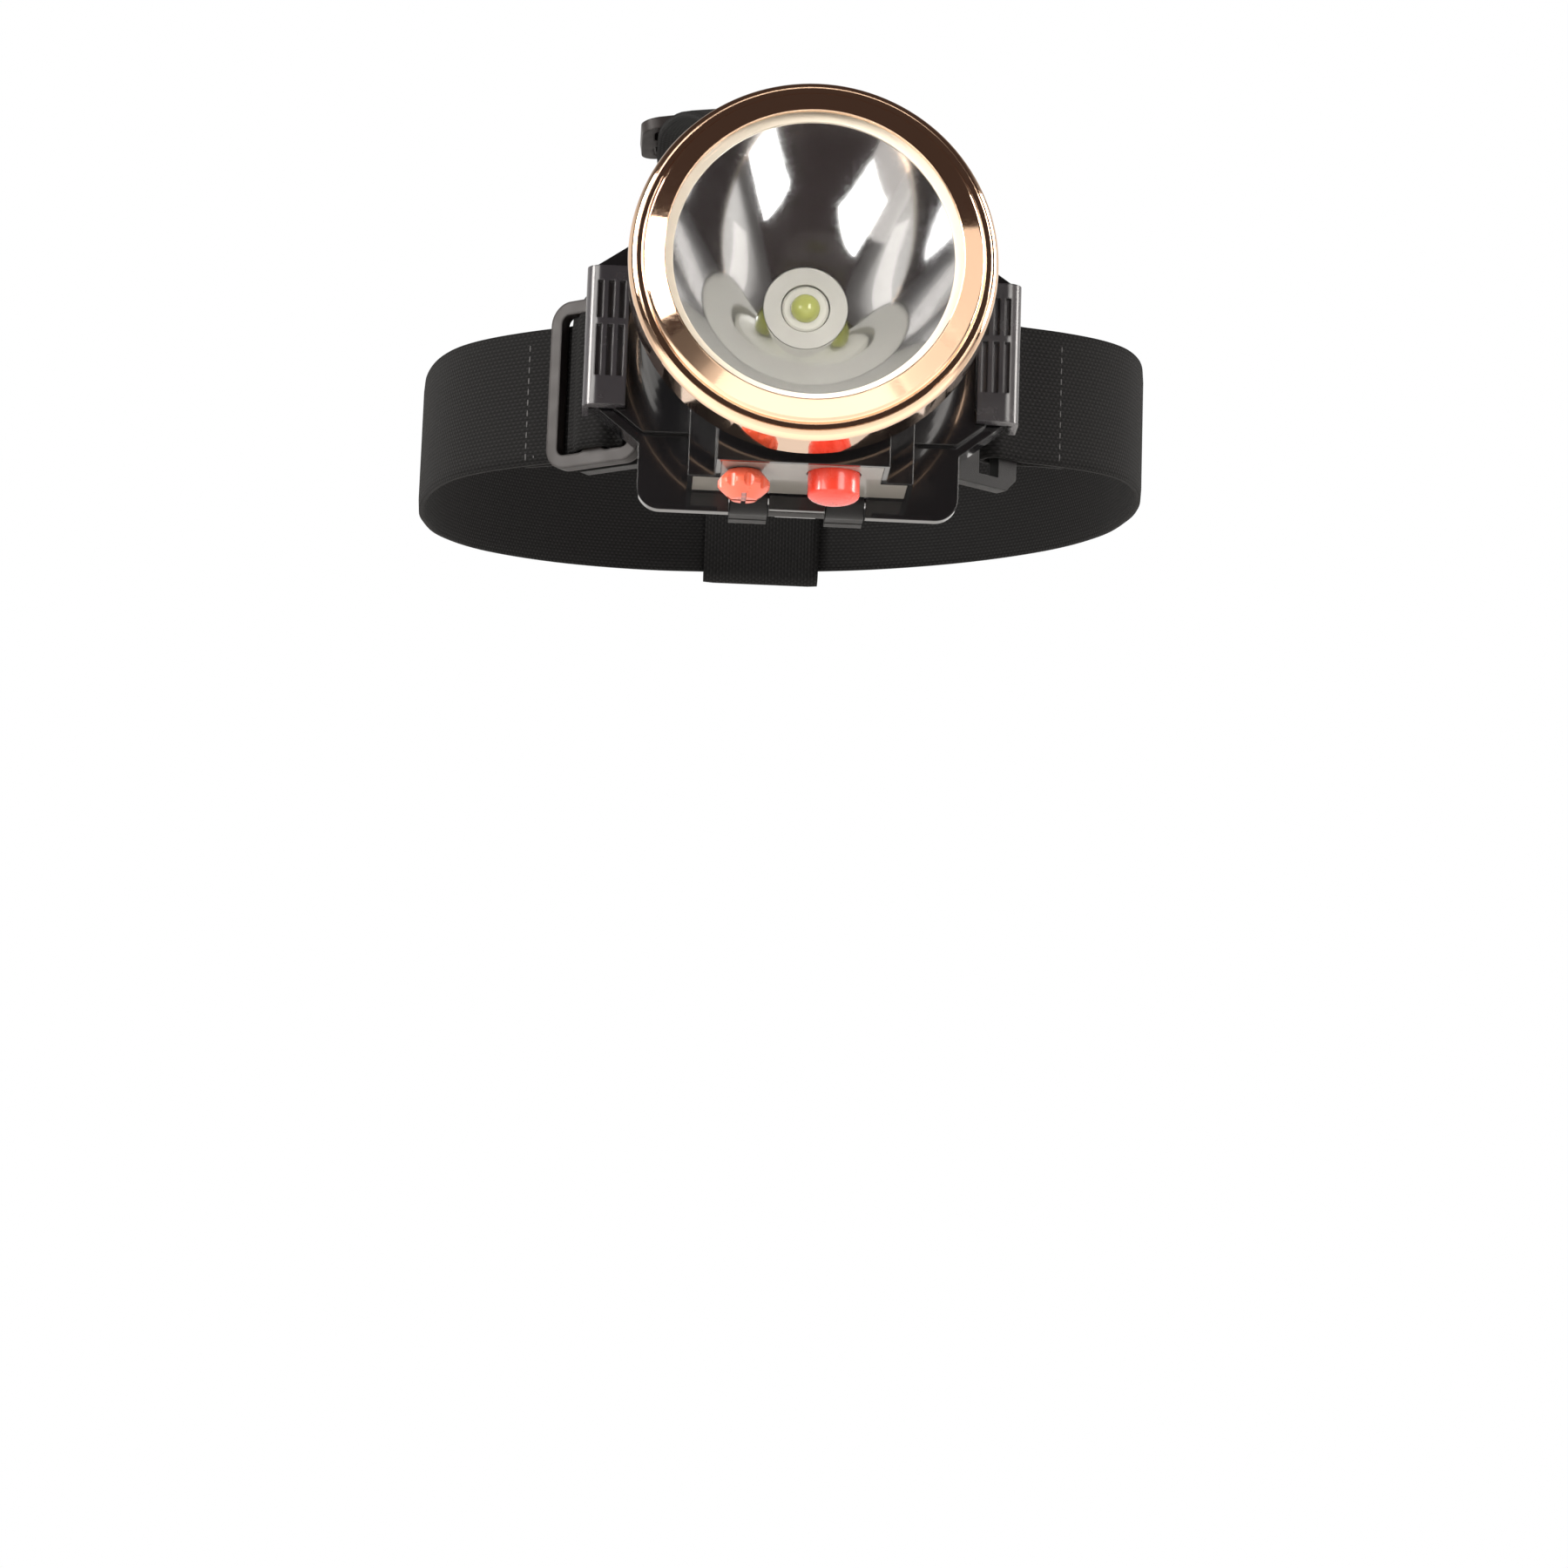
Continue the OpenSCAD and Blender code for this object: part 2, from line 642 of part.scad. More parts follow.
module led_dome() {
    dome = 2.5;
    color("#dfe2a0") lathe() polygon(concat(
        [[0, 20.75]], [for (a = [0 : 10 : 90]) [dome * cos(a), 20.75 + 2.1 * sin(a)]]));
}

module led_board() {
    color("#e9e9e6") difference() {
        rod(10, 0, lamp_z, board_f0, board_f1);
        for (s = [-1, 1]) rod(1.2, s * 7.8, lamp_z, board_f0 - cut, board_f1 + cut);
    }
}

module board_screws() {
    color("#b9bcc0") for (s = [-1, 1]) {
        rod(1.85, s * 7.8, lamp_z, board_f1 + e, board_f1 + 0.95);
        rod(1, s * 7.8, lamp_z, 16.3, board_f1 + 0.1);
    }
}

module heatsink() {
    color("#b4b7bb") difference() {
        rod(13, 0, lamp_z, back_wall_f + e, board_f0 - e);
        for (s = [-1, 1]) rod(1.2, s * 7.8, lamp_z, back_wall_f - cut, board_f0 + cut);
    }
}

// ---------------------------------------------------------------- controls

module control_board() {
    color("#2f6b3c") difference() {
        union() {
            translate([-12.7, -33.8, board_z]) cube([25.4, 14.8, board_t]);
            translate([-12, -19.1, board_z]) cube([24, 1.7, board_t]);
        }
        for (s = [-1, 1]) translate([s * 11.5, -20.5, board_z - 1]) cylinder(r = 0.8, h = 4);
    }
}

module board_parts() {
    z = board_z + board_t + e;
    color("#202024") union() {
        translate([-3, -27, z]) cylinder(r = 2.6, h = 2.4);
        translate([3.5, -30, z]) cube([5, 4, 1.2]);
        translate([3.5, -24.5, z]) cube([3, 3, 1]);
        for (x = [-10.5, -8]) translate([x, -31, z]) cube([1.6, 0.9, 0.7]);
    }
}

module power_switch() {
    color("#303034") difference() {
        translate([power_x - 3, -controls_f - 3, board_z - e - 2.9]) cube([6, 6, 2.9]);
        translate([power_x, -controls_f, board_z - 4]) cylinder(r = 1.8, h = 3.4);
    }
}

module switch_plunger() {
    color("#8a2f26") translate([power_x, -controls_f, -23.75]) cylinder(r = 1.72, h = 1.9);
}

module power_button() {
    crown = 1.6;
    r = control_r;
    low = box_bottom - 5.2;
    color("#e5452f") translate([power_x, -controls_f, 0]) rotate_extrude() polygon(concat(
        [for (a = [-90 : 15 : 0]) [(r - 0.01) * cos(a), low + crown + crown * sin(a)]],
        [[r, panel_top + 0.1], [r + 0.5, panel_top + 0.1], [r + 0.5, panel_top + 0.8],
         [2, panel_top + 0.8], [2, -23.8], [0, -23.8]]));
}

module dimmer_pot() {
    color("#3c6b9a") difference() {
        translate([dimmer_x - 3.2, -controls_f - 4, board_z - e - 4.6]) cube([6.4, 8, 4.6]);
        translate([dimmer_x, -controls_f, board_z - 6]) cylinder(r = 1.56, h = 5);
    }
}

module dimmer_shaft() {
    color("#d0d1d3") translate([dimmer_x, -controls_f, box_bottom - 3]) cylinder(r = 1.5, h = 7.8);
}

// waisted cap with deep flutes round its belt and a cross slot in its end
module dimmer_knob() {
    flutes = 9;
    r = control_r;
    top = box_bottom - 0.2;
    color("#e8735a") translate([dimmer_x, -controls_f, 0]) difference() {
        translate([0, 0, top]) rotate_extrude() polygon(
            [[0, 0], [r - 1.5, 0], [r - 0.25, -1.5], [r, -1.9], [r, -2.7], [r - 0.3, -3.1],
             [r - 1.9, -4.6], [r - 2.3, -4.9], [0, -4.9]]);
        for (i = [0 : flutes - 1]) rotate([0, 0, 360 * i / flutes])
            translate([r + 0.35, 0, top - 6]) cylinder(r = 0.95, h = 7);
        for (a = [0, 90]) rotate([0, 0, a]) translate([-3, -0.4, top - 5.4]) cube([6, 0.8, 1.1]);
        translate([0, 0, box_bottom - 3.05]) cylinder(r = 1.55, h = 4);
    }
}

// ---------------------------------------------------------------- power

module battery() {
    color("#b8bcc2") union() {
        block(-23, 23, 9.3, 12.9, -13.4, 13);
        block(-23, 23, 10.3, 11.9, -13.9, -13.3);
    }
}

module battery_tape() {
    color("#c9a23a") block(-18, 18, 9.3, 12.9, 13.05, 14.2);
}

// round lead made of straight lengths with ball corners
module lead(points, r) {
    for (i = [0 : len(points) - 2]) {
        d = points[i + 1] - points[i];
        translate(points[i]) rotate([0, acos(d[2] / norm(d)), atan2(d[1], d[0])])
            cylinder(r = r, h = norm(d), $fn = 24);
        if (i > 0) translate(points[i]) sphere(r = r, $fn = 24);
    }
}

module battery_leads() {
    color("#b02a2a") for (x = [-2.5, 2.5]) lead([
        [x, -11.1, -14.45], [x, -18.4, -14.45], [x, -18.4, board_z + board_t + e]], 0.5);
}

module led_leads() {
    color("#d8d8d8") for (x = [-3.6, 3.6]) lead([
        [x, -19.6, lamp_z - 9.9], [x, -19.6, board_z + board_t + e]], 0.5);
}

module charge_board() {
    color("#2f6b3c") block(11, 25, 9.3, 10.2, 14.3, 17.3);
}

module charge_socket() {
    color("#c4c6c9") difference() {
        block(14, 22, 10.4, 13.5, 14.3, oct_hi - 0.1);
        block(14.5, 21.5, 10.9, 13, 15.3, oct_hi + 1);
    }
}

base_plate();
forehead_pad();
headband();
crown_strap();
tilt_pin();
detent_spring();
detent_screw();
side_slider();
side_slider_webbing();
crown_slider();
crown_slider_webbing();
rear_shell();
front_cover();
left_grip();
right_grip();
housing_seal();
housing_screws();
lamp_housing();
lamp_screws();
bezel();
lens();
lens_gasket();
reflector();
led_insulator();
led_emitter();
led_dome();
led_board();
board_screws();
heatsink();
control_panel();
control_board();
board_parts();
power_switch();
switch_plunger();
power_button();
dimmer_pot();
dimmer_shaft();
dimmer_knob();
battery();
battery_tape();
battery_leads();
led_leads();
charge_board();
charge_socket();
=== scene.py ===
"""Looks of the tilting headlamp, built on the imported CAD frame. Lengths are in metres."""
import json
import math

import bmesh
import bpy
from mathutils import Matrix, Vector


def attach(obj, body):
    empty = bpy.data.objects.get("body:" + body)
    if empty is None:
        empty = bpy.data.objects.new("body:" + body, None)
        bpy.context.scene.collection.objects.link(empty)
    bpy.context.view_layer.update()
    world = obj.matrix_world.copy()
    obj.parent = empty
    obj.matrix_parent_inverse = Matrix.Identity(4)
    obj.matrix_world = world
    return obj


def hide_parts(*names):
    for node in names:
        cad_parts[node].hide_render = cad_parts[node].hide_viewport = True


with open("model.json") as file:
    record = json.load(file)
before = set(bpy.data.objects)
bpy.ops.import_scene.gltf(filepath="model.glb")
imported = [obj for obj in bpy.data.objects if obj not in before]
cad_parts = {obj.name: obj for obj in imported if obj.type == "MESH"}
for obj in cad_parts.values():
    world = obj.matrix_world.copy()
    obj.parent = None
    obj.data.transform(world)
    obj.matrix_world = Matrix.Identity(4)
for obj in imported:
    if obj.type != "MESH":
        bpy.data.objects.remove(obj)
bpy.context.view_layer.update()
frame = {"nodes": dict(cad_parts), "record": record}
nodes = frame["nodes"]
scene = bpy.context.scene
MM = 0.001
# sockets of a colour mix node
MIX_FACTOR = 0
MIX_A = 6
MIX_B = 7
MIX_RESULT = 2

# ---------------------------------------------------------------- camera

# low in front of the bezel, looking up about 10.7 degrees
EYE = Vector((-0.02792, -0.7150, -0.2087))
RIGHT = Vector((0.99840, -0.04526, 0.03365))
UP = Vector((-0.04145, -0.18409, 0.98203))
FORWARD = Vector((0.03825, 0.98187, 0.18567))

camera_data = bpy.data.cameras.new("camera")
camera_data.sensor_width = 36.0
camera_data.lens = 97.28
camera_data.clip_end = 20.0
camera = bpy.data.objects.new("camera", camera_data)
scene.collection.objects.link(camera)
axes = Matrix((RIGHT, UP, -FORWARD)).transposed().to_4x4()
camera.matrix_world = Matrix.Translation(EYE) @ axes
scene.camera = camera

# ---------------------------------------------------------------- node helpers


class Shader:
    """A material's node tree, with short ways to add and join nodes."""

    def __init__(self, name, color, rough, metal=0.0):
        self.material = bpy.data.materials.new(name)
        self.material.use_nodes = True
        self.tree = self.material.node_tree
        self.bsdf = self.tree.nodes["Principled BSDF"]
        self.output = self.tree.nodes["Material Output"]
        self.set("Base Color", (*color, 1))
        self.set("Roughness", rough)
        self.set("Metallic", metal)

    def add(self, kind, **settings):
        made = self.tree.nodes.new(kind)
        for key, value in settings.items():
            setattr(made, key, value)
        return made

    def join(self, start, end):
        self.tree.links.new(start, end)

    def set(self, name, value):
        self.bsdf.inputs[name].default_value = value

    def noise(self, scale, detail=3.0):
        """Fine noise that is fixed to the piece, with its scale per metre."""
        place = self.add("ShaderNodeTexCoord")
        made = self.add("ShaderNodeTexNoise")
        made.inputs["Scale"].default_value = scale
        made.inputs["Detail"].default_value = detail
        self.join(place.outputs["Object"], made.inputs["Vector"])
        return made.outputs["Fac"]

    def span(self, value, low, high, target):
        """Stretch a noise value's middle over low to high, into an input."""
        made = self.add("ShaderNodeMapRange")
        made.inputs["From Min"].default_value = 0.3
        made.inputs["From Max"].default_value = 0.7
        made.inputs["To Min"].default_value = low
        made.inputs["To Max"].default_value = high
        self.join(value, made.inputs["Value"])
        self.join(made.outputs["Result"], target)

    def tint(self, value, dark, light):
        """Vary the base colour between two colours by a value."""
        made = self.add("ShaderNodeMix", data_type="RGBA")
        made.inputs[MIX_A].default_value = (*dark, 1)
        made.inputs[MIX_B].default_value = (*light, 1)
        self.join(value, made.inputs[MIX_FACTOR])
        self.join(made.outputs[MIX_RESULT], self.bsdf.inputs["Base Color"])

    def bump(self, height, depth, strength=1.0, round_edge=0.0):
        made = self.add("ShaderNodeBump")
        made.inputs["Strength"].default_value = strength
        made.inputs["Distance"].default_value = depth
        self.join(height, made.inputs["Height"])
        if round_edge:
            edge = self.add("ShaderNodeBevel", samples=4)
            edge.inputs["Radius"].default_value = round_edge
            self.join(edge.outputs["Normal"], made.inputs["Normal"])
        self.join(made.outputs["Normal"], self.bsdf.inputs["Normal"])

    def sine(self, value, pitch):
        """0 to 1 wave with a pitch in metres."""
        scaled = self.add("ShaderNodeMath", operation="MULTIPLY")
        scaled.inputs[1].default_value = 2 * math.pi / pitch
        self.join(value, scaled.inputs[0])
        wave = self.add("ShaderNodeMath", operation="SINE")
        self.join(scaled.outputs[0], wave.inputs[0])
        out = self.add("ShaderNodeMath", operation="MULTIPLY_ADD")
        out.inputs[1].default_value = 0.5
        out.inputs[2].default_value = 0.5
        self.join(wave.outputs[0], out.inputs[0])
        return out.outputs[0]

    def mixed(self, operation, a, b):
        made = self.add("ShaderNodeMath", operation=operation)
        for k, value in enumerate((a, b)):
            if isinstance(value, (int, float)):
                made.inputs[k].default_value = value
            else:
                self.join(value, made.inputs[k])
        return made.outputs[0]


def plastic(name, color, rough, grain=0.0, edge=0.00025, coat=0.0, spread=0.05):
    """Moulded plastic: faint mottling, uneven gloss and an optional fine grain."""
    s = Shader(name, color, rough)
    s.span(s.noise(260, 4), max(rough - spread, 0.02), rough + spread, s.bsdf.inputs["Roughness"])
    light = tuple(min(1, c * 1.12 + 0.001) for c in color)
    dark = tuple(c * 0.88 for c in color)
    s.tint(s.noise(90, 2), dark, light)
    s.set("Coat Weight", coat)
    s.set("Coat Roughness", 0.03)
    s.bump(s.noise(5200, 3), 0.00004 * grain + 0.000002, 1.0, edge)
    return s.material


def painted_crevice_shade(material, shade, reach):
    """Paint shade into a plastic's inside corners and grooves, darkening its base colour towards a shade
    colour by ambient occlusion.
    """
    tree = material.node_tree
    bsdf = tree.nodes["Principled BSDF"]
    crevice_shade_ao = tree.nodes.new("ShaderNodeAmbientOcclusion")
    crevice_shade_ao.samples = 6
    crevice_shade_ao.only_local = True
    crevice_shade_ao.inputs["Distance"].default_value = reach
    mix = tree.nodes.new("ShaderNodeMix")
    mix.data_type = "RGBA"
    mix.inputs[MIX_A].default_value = (*shade, 1)
    span = tree.nodes.new("ShaderNodeMapRange")
    span.inputs["From Min"].default_value = 0.35
    span.inputs["From Max"].default_value = 0.85
    tree.links.new(crevice_shade_ao.outputs["AO"], span.inputs["Value"])
    tree.links.new(span.outputs["Result"], mix.inputs[MIX_FACTOR])
    tree.links.new(bsdf.inputs["Base Color"].links[0].from_socket, mix.inputs[MIX_B])
    tree.links.new(mix.outputs[MIX_RESULT], bsdf.inputs["Base Color"])


def paraboloid(material, middle, across):
    """Give a reflector the exact normal of its bowl, r * r = across * depth, about an axis along Y."""
    tree = material.node_tree
    place = tree.nodes.new("ShaderNodeTexCoord")
    inward = tree.nodes.new("ShaderNodeVectorMath")
    inward.operation = "MULTIPLY_ADD"
    inward.inputs[1].default_value = (-2.0, 0.0, -2.0)
    inward.inputs[2].default_value = (2 * middle[0], -across, 2 * middle[1])
    turned = tree.nodes.new("ShaderNodeVectorTransform")
    turned.vector_type = "NORMAL"
    turned.convert_from = "OBJECT"
    turned.convert_to = "WORLD"
    unit = tree.nodes.new("ShaderNodeVectorMath")
    unit.operation = "NORMALIZE"
    tree.links.new(place.outputs["Object"], inward.inputs[0])
    tree.links.new(inward.outputs[0], turned.inputs[0])
    tree.links.new(turned.outputs[0], unit.inputs[0])
    tree.links.new(unit.outputs[0], tree.nodes["Principled BSDF"].inputs["Normal"])


def metal(name, color, rough, brushed=0.0, edge=0.0001):
    s = Shader(name, color, rough, 1.0)
    place = s.add("ShaderNodeTexCoord")
    stretch = s.add("ShaderNodeMapping")
    stretch.inputs["Scale"].default_value = (1.0, 1.0, 22.0)
    s.join(place.outputs["Object"], stretch.inputs["Vector"])
    streak = s.add("ShaderNodeTexNoise")
    streak.inputs["Scale"].default_value = 900
    s.join(stretch.outputs["Vector"], streak.inputs["Vector"])
    s.span(streak.outputs["Fac"], max(rough - 0.04, 0.01), rough + 0.08, s.bsdf.inputs["Roughness"])
    s.bump(streak.outputs["Fac"], 0.00001 * brushed + 0.0000005, 1.0, edge)
    return s.material


def woven(name, color, pick, cord, fuzz=0.35):
    """Woven elastic: picks along the length crossed by fine lengthwise cords, from UVs in metres."""
    s = Shader(name, color, 0.82)
    uv = s.add("ShaderNodeUVMap")
    split = s.add("ShaderNodeSeparateXYZ")
    s.join(uv.outputs["UV"], split.inputs[0])
    across = split.outputs[0]
    along = split.outputs[1]
    cords = s.sine(across, cord)
    half_step = s.mixed("MULTIPLY", s.mixed("ROUND", s.mixed("DIVIDE", across, cord), 0.0), pick / 2)
    picks = s.sine(s.mixed("ADD", along, half_step), pick)
    weave = s.mixed("ADD", s.mixed("MULTIPLY", picks, 0.75), 0.25)
    thread = s.mixed("MULTIPLY", s.mixed("POWER", cords, 0.5), weave)
    hair = s.noise(2600, 5)
    height = s.mixed("ADD", thread, s.mixed("MULTIPLY", hair, 0.35))
    # painted shade and highlight: the base colour darkens in the gaps between threads and lightens on the
    # thread crowns, with a random tone from the hair noise
    light = tuple(c * 1.7 + 0.004 for c in color)
    dark = tuple(c * 0.45 for c in color)
    s.tint(s.mixed("MULTIPLY", thread, s.mixed("ADD", hair, 0.35)), dark, light)
    s.set("Sheen Weight", fuzz)
    s.set("Sheen Roughness", 0.5)
    s.set("Specular IOR Level", 0.12)
    s.bump(height, 0.00016, 0.9)
    return s.material


def clear(name, color, ior, rough=0.0):
    """Clear moulding. Shadow rays pass straight through, so what lies behind it is lit."""
    s = Shader(name, color, rough)
    s.set("Transmission Weight", 1.0)
    s.set("IOR", ior)
    s.span(s.noise(60, 2), rough, rough + 0.015, s.bsdf.inputs["Roughness"])
    rays = s.add("ShaderNodeLightPath")
    through = s.add("ShaderNodeBsdfTransparent")
    mix = s.add("ShaderNodeMixShader")
    s.join(rays.outputs["Is Shadow Ray"], mix.inputs[0])
    s.join(s.bsdf.outputs[0], mix.inputs[1])
    s.join(through.outputs[0], mix.inputs[2])
    s.join(mix.outputs[0], s.output.inputs["Surface"])
    return s.material


def foam(name, color):
    """Open-cell foam under a thin knitted cover."""
    s = Shader(name, color, 0.9)
    cells = s.add("ShaderNodeTexVoronoi")
    cells.inputs["Scale"].default_value = 1300
    place = s.add("ShaderNodeTexCoord")
    s.join(place.outputs["Object"], cells.inputs["Vector"])
    # painted shade and highlight: the base colour darkens in the foam's cell pits and lightens on the cell
    # walls, following the same cell height as the bump
    s.tint(cells.outputs["Distance"], tuple(c * 0.4 for c in color), tuple(c * 1.6 for c in color))
    s.set("Sheen Weight", 0.4)
    s.bump(cells.outputs["Distance"], 0.00025, 1.0)
    return s.material


# ---------------------------------------------------------------- materials by slot

LOOKS = {
    "gloss_black": plastic(
        "gloss_black", (0.0075, 0.0075, 0.0085), 0.1, grain=0.0, edge=0.0003, coat=0.6, spread=0.03),
    "black_nylon": plastic("black_nylon", (0.012, 0.012, 0.0125), 0.42, grain=1.0, edge=0.0003),
    "slider_plastic": plastic("slider_plastic", (0.02, 0.017, 0.0165), 0.4, grain=0.3, edge=0.0006),
    "smoke_rubber": plastic("smoke_rubber", (0.032, 0.03, 0.034), 0.24, grain=0.35, edge=0.0004, coat=0.25),
    "seal_rubber": plastic("seal_rubber", (0.08, 0.08, 0.085), 0.7, grain=0.6),
    "cream_gasket": plastic("cream_gasket", (0.86, 0.77, 0.64), 0.45, grain=0.2),
    "white_plastic": plastic("white_plastic", (0.5, 0.49, 0.45), 0.5, grain=0.2, edge=0.0002),
    "ceramic_white": plastic("ceramic_white", (0.62, 0.61, 0.55), 0.35, grain=0.1, edge=0.0001),
    "white_board": plastic("white_board", (0.72, 0.72, 0.7), 0.3, grain=0.1, edge=0.0001),
    "green_board": plastic("green_board", (0.02, 0.13, 0.04), 0.3, grain=0.2, edge=0.0001),
    "component_black": plastic("component_black", (0.025, 0.025, 0.028), 0.5, grain=0.5, edge=0.0001),
    "component_blue": plastic("component_blue", (0.04, 0.13, 0.33), 0.4, grain=0.2, edge=0.0001),
    # painted reflection: this panel is gloss black, and its mid grey base colour stands in for the pale
    # head reflected in it
    "grey_panel": plastic(
        "grey_panel", (0.21, 0.2, 0.18), 0.22, grain=0.1, edge=0.0003, coat=0.3, spread=0.04),
    "red_button": plastic("red_button", (0.76, 0.045, 0.022), 0.26, grain=0.15, edge=0.0005, coat=0.4),
    "coral_knob": plastic("coral_knob", (0.78, 0.12, 0.06), 0.3, grain=0.2, edge=0.0003, coat=0.4),
    "tape": plastic("tape", (0.52, 0.27, 0.04), 0.2, grain=0.1, edge=0.0001),
    "red_wire": plastic("red_wire", (0.42, 0.02, 0.02), 0.4, grain=0.2, edge=0.0001),
    "white_wire": plastic("white_wire", (0.65, 0.65, 0.65), 0.4, grain=0.2, edge=0.0001),
    "rose_chrome": metal("rose_chrome", (0.94, 0.655, 0.46), 0.03, brushed=0.0, edge=0.0002),
    "mirror": metal("mirror", (0.74, 0.74, 0.75), 0.05, brushed=0.0, edge=0.0001),
    "pin_steel": metal("pin_steel", (0.58, 0.58, 0.6), 0.25, brushed=1.0),
    "spring_steel": metal("spring_steel", (0.5, 0.5, 0.52), 0.3, brushed=1.0),
    "screw_steel": metal("screw_steel", (0.5, 0.51, 0.53), 0.28, brushed=1.0),
    "sink_aluminium": metal("sink_aluminium", (0.62, 0.63, 0.65), 0.32, brushed=1.5),
    "cell_foil": metal("cell_foil", (0.55, 0.56, 0.6), 0.35, brushed=2.0),
    "clear_lens": clear("clear_lens", (0.97, 0.98, 0.98), 1.46),
    "led_silicone": plastic("led_silicone", (0.42, 0.44, 0.13), 0.18, grain=0.1, edge=0.0001, coat=0.8),
    "webbing": woven("webbing", (0.0055, 0.0055, 0.0057), pick=0.0011, cord=0.0007, fuzz=0.012),
    "pad_foam": foam("pad_foam", (0.02, 0.02, 0.021)),
    "thread": plastic("thread", (0.035, 0.035, 0.036), 0.6, grain=1.0, edge=0.0),
}

DULL_SPECULAR = 0.15
for dull in ("slider_plastic", "black_nylon"):
    surface = LOOKS[dull].node_tree.nodes["Principled BSDF"]
    surface.inputs["Specular IOR Level"].default_value = DULL_SPECULAR
# painted shade: the coral knob's flutes are darkened to deep red where shade falls in them
painted_crevice_shade(LOOKS["coral_knob"], shade=(0.1, 0.008, 0.004), reach=0.0016)

# the reflector's bowl, in millimetres
LAMP_Z = 5.0
MOUTH_R = 23.1
THROAT_R = 7.3
BOWL_DEPTH = 28.2
paraboloid(LOOKS["mirror"], (0.0, LAMP_Z * MM), (MOUTH_R ** 2 - THROAT_R ** 2) / BOWL_DEPTH * MM)

for part in frame["record"]["subparts"]:
    shape = nodes.get(part["node"])
    if shape is None:
        continue
    shape.data.materials.clear()
    shape.data.materials.append(LOOKS[part["material_slot"]])

# ---------------------------------------------------------------- straps

BAND_W = 24.5
BAND_T = 1.3
BAND_Z = -2.3
BAND_LEAN = 0.045
BAND_RISE = 0.12
EAR_ANGLE = math.radians(36)
EAR_LEN = 24.2
EAR_T = 2.5
SLOT_END = 20.0
EAR_ROOT = Vector((19.0, -6.25))
EAR_DIR = Vector((math.cos(EAR_ANGLE), math.sin(EAR_ANGLE)))
EAR_OUT = Vector((math.sin(EAR_ANGLE), -math.cos(EAR_ANGLE)))
# the webbing passes through the ear's slot and round its outer bar, with a gap off the bar's faces
FOLD_GAP = 0.15
FOLD_R = EAR_T / 2 + FOLD_GAP + BAND_T / 2
FOLD_AT = SLOT_END - 0.4
PAST_BAR = EAR_LEN + 0.4
FOLD_END = EAR_ROOT + EAR_DIR * PAST_BAR + EAR_OUT * FOLD_R
BAND_ROUTE = [
    (54.6, 19), (60, 27.5), (63.8, 38.5), (66.4, 52), (68, 68), (68.2, 86), (65.8, 110),
    (57.6, 134), (42.3, 155), (22.6, 168.4), (0, 172.8)]
CROWN_ROUTE = [
    (0, 2.1, 37.4), (0, -2.35, 33.3), (0, -3.8, 29.3), (0, -4.1, 25), (0, -4.15, 22.5), (0, -6.25, 20.6),
    (0, -8.35, 22.5), (0, -8.4, 26.4), (0, -6.6, 31.2), (-1, 1, 38.6), (-4, 14, 49.6),
    (-9, 34, 59.8), (-13.2, 56, 65.2), (-14, 72, 66.6), (-13.2, 92, 66.4), (-9.6, 116, 62.2),
    (-5, 140, 54), (-2, 158, 45), (-0.6, 169.6, 37), (0, 174.1, 30), (0, 174.4, 22), (0, 174.4, 12),
    (0, 174.35, 5.2), (0, 173.9, 3.9), (0, 172.1, 3.1), (0, 170.2, 3.9), (0, 169.75, 5.2),
    (0, 169.7, 12), (0, 169.7, 22), (0, 169.4, 27)]
CROWN_ROLL = 0.7


def smooth(points, steps):
    """Catmull-Rom curve through the points."""
    made = []
    last = len(points) - 1
    for i in range(last):
        a = points[max(0, i - 1)]
        b = points[i]
        c = points[i + 1]
        d = points[min(last, i + 2)]
        for k in range(steps):
            t = k / steps
            made.append(0.5 * (2 * b + (c - a) * t + (2 * a - 5 * b + 4 * c - d) * t * t
                               + (3 * b - a - 3 * c + d) * t ** 3))
    made.append(points[last])
    return made


def headband_path():
    """The band from the right ear's sewn return round the head to the left one."""
    half = [FOLD_END + EAR_DIR * 10 - EAR_OUT * 1.7, FOLD_END + EAR_DIR * 5 - EAR_OUT * 2.4]
    half.append(EAR_ROOT + EAR_DIR * PAST_BAR - EAR_OUT * FOLD_R)
    for step in range(180, -1, -15):
        a = math.radians(step)
        along = EAR_DIR * (FOLD_AT - FOLD_R * math.sin(a))
        half.append(EAR_ROOT + along + EAR_OUT * FOLD_R * math.cos(a))
    half.append(EAR_ROOT + EAR_DIR * (FOLD_AT + 2) + EAR_OUT * FOLD_R)
    half += smooth([FOLD_END, FOLD_END + EAR_DIR * 9] + [Vector(p) for p in BAND_ROUTE], 8)
    flat = half + [Vector((-p.x, p.y)) for p in reversed(half[:-1])]
    path = []
    for p in flat:
        rise = BAND_RISE * max(0.0, p.y - FOLD_END.y)
        path.append(Vector((p.x, p.y, BAND_Z + BAND_LEAN * p.x + rise)))
    return path


# half the webbing's width that stays flat, as a share of the whole width, before its edge rounds off
FLAT_SHARE = 0.46


